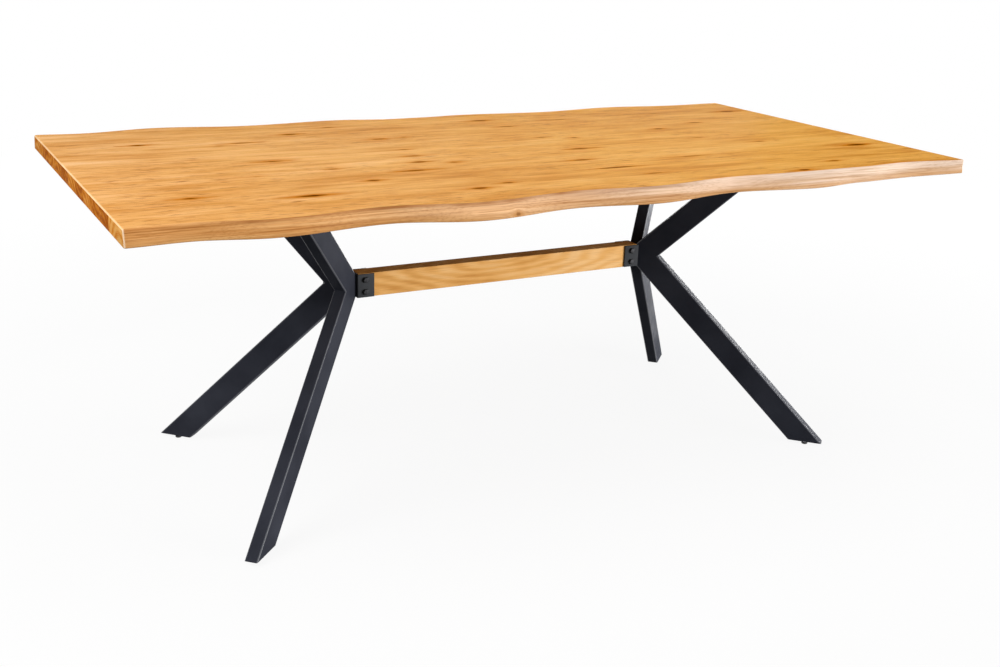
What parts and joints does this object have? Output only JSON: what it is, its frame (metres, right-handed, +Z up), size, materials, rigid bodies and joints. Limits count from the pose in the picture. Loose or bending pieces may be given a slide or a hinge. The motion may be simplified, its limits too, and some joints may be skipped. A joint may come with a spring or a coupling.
{
  "type": "dining table",
  "caption": "Rectangular dining table with a live-edge plank top on a black steel spider base, braced by a wooden stretcher beam, with screw levellers under the feet.",
  "frame": {"origin": "on the floor under the middle of the top", "axes": "+X along the top to the right of the picture, +Y to the rear long side, +Z up"},
  "size_m": [2, 1.076, 0.762],
  "materials": {
    "board_wood": "satin oil",
    "live_edge_wood": "satin oil",
    "beam_wood": "satin oil",
    "powder_coat": "satin black powder coat",
    "black_bolt": "black oxide",
    "zinc_steel": "zinc plated",
    "nylon": "moulded black nylon"
  },
  "bodies": {
    "root": {"front_live_edge_board": "live_edge_wood", "rear_live_edge_board": "live_edge_wood", "top_board_1": "board_wood", "top_board_2": "board_wood", "top_board_3": "board_wood", "top_board_4": "board_wood", "top_board_5": "board_wood", "top_board_6": "board_wood", "top_board_7": "board_wood", "top_board_8": "board_wood", "top_board_9": "board_wood", "stretcher_beam": "beam_wood", "arm_front_left": "powder_coat", "leg_front_left": "powder_coat", "mounting_plate_front_left": "powder_coat", "foot_plate_front_left": "powder_coat", "mounting_screw_front_left_inner": "zinc_steel", "mounting_screw_front_left_outer": "zinc_steel", "arm_rear_left": "powder_coat", "leg_rear_left": "powder_coat", "mounting_plate_rear_left": "powder_coat", "foot_plate_rear_left": "powder_coat", "mounting_screw_rear_left_inner": "zinc_steel", "mounting_screw_rear_left_outer": "zinc_steel", "arm_front_right": "powder_coat", "leg_front_right": "powder_coat", "mounting_plate_front_right": "powder_coat", "foot_plate_front_right": "powder_coat", "mounting_screw_front_right_inner": "zinc_steel", "mounting_screw_front_right_outer": "zinc_steel", "arm_rear_right": "powder_coat", "leg_rear_right": "powder_coat", "mounting_plate_rear_right": "powder_coat", "foot_plate_rear_right": "powder_coat", "mounting_screw_rear_right_inner": "zinc_steel", "mounting_screw_rear_right_outer": "zinc_steel", "beam_bracket_left": "powder_coat", "beam_bolt_left_lower": "black_bolt", "beam_nut_left_lower": "black_bolt", "beam_bolt_left_upper": "black_bolt", "beam_nut_left_upper": "black_bolt", "beam_bracket_right": "powder_coat", "beam_bolt_right_lower": "black_bolt", "beam_nut_right_lower": "black_bolt", "beam_bolt_right_upper": "black_bolt", "beam_nut_right_upper": "black_bolt"},
    "leveller_pad_front_left": {"leveller_pad_front_left": "nylon"},
    "leveller_stem_front_left": {"leveller_stem_front_left": "zinc_steel"},
    "leveller_pad_rear_left": {"leveller_pad_rear_left": "nylon"},
    "leveller_stem_rear_left": {"leveller_stem_rear_left": "zinc_steel"},
    "leveller_pad_front_right": {"leveller_pad_front_right": "nylon"},
    "leveller_stem_front_right": {"leveller_stem_front_right": "zinc_steel"},
    "leveller_pad_rear_right": {"leveller_pad_rear_right": "nylon"},
    "leveller_stem_rear_right": {"leveller_stem_rear_right": "zinc_steel"}
  },
  "joints": [
    {"name": "leveller_height_front_left", "type": "slide", "parent": "root", "child": "leveller_pad_front_left", "axis": [0, 0, -1], "range_m": [0, 0.01]},
    {"name": "leveller_turn_front_left", "type": "hinge", "parent": "leveller_pad_front_left", "child": "leveller_stem_front_left", "pos_m": [-0.73524, -0.34521, 0], "axis": [0, 0, -1], "range_deg": [0, 2880]},
    {"name": "leveller_height_rear_left", "type": "slide", "parent": "root", "child": "leveller_pad_rear_left", "axis": [0, 0, -1], "range_m": [0, 0.01]},
    {"name": "leveller_turn_rear_left", "type": "hinge", "parent": "leveller_pad_rear_left", "child": "leveller_stem_rear_left", "pos_m": [-0.73524, 0.34521, 0], "axis": [0, 0, -1], "range_deg": [0, 2880]},
    {"name": "leveller_height_front_right", "type": "slide", "parent": "root", "child": "leveller_pad_front_right", "axis": [0, 0, -1], "range_m": [0, 0.01]},
    {"name": "leveller_turn_front_right", "type": "hinge", "parent": "leveller_pad_front_right", "child": "leveller_stem_front_right", "pos_m": [0.73524, -0.34521, 0], "axis": [0, 0, -1], "range_deg": [0, 2880]},
    {"name": "leveller_height_rear_right", "type": "slide", "parent": "root", "child": "leveller_pad_rear_right", "axis": [0, 0, -1], "range_m": [0, 0.01]},
    {"name": "leveller_turn_rear_right", "type": "hinge", "parent": "leveller_pad_rear_right", "child": "leveller_stem_rear_right", "pos_m": [0.73524, 0.34521, 0], "axis": [0, 0, -1], "range_deg": [0, 2880]}
  ],
  "couplings": [
    {"joint": "leveller_height_front_left", "follows": "leveller_turn_front_left", "m_per_rad": 0.00019894},
    {"joint": "leveller_height_rear_left", "follows": "leveller_turn_rear_left", "m_per_rad": 0.00019894},
    {"joint": "leveller_height_front_right", "follows": "leveller_turn_front_right", "m_per_rad": 0.00019894},
    {"joint": "leveller_height_rear_right", "follows": "leveller_turn_rear_right", "m_per_rad": 0.00019894}
  ]
}
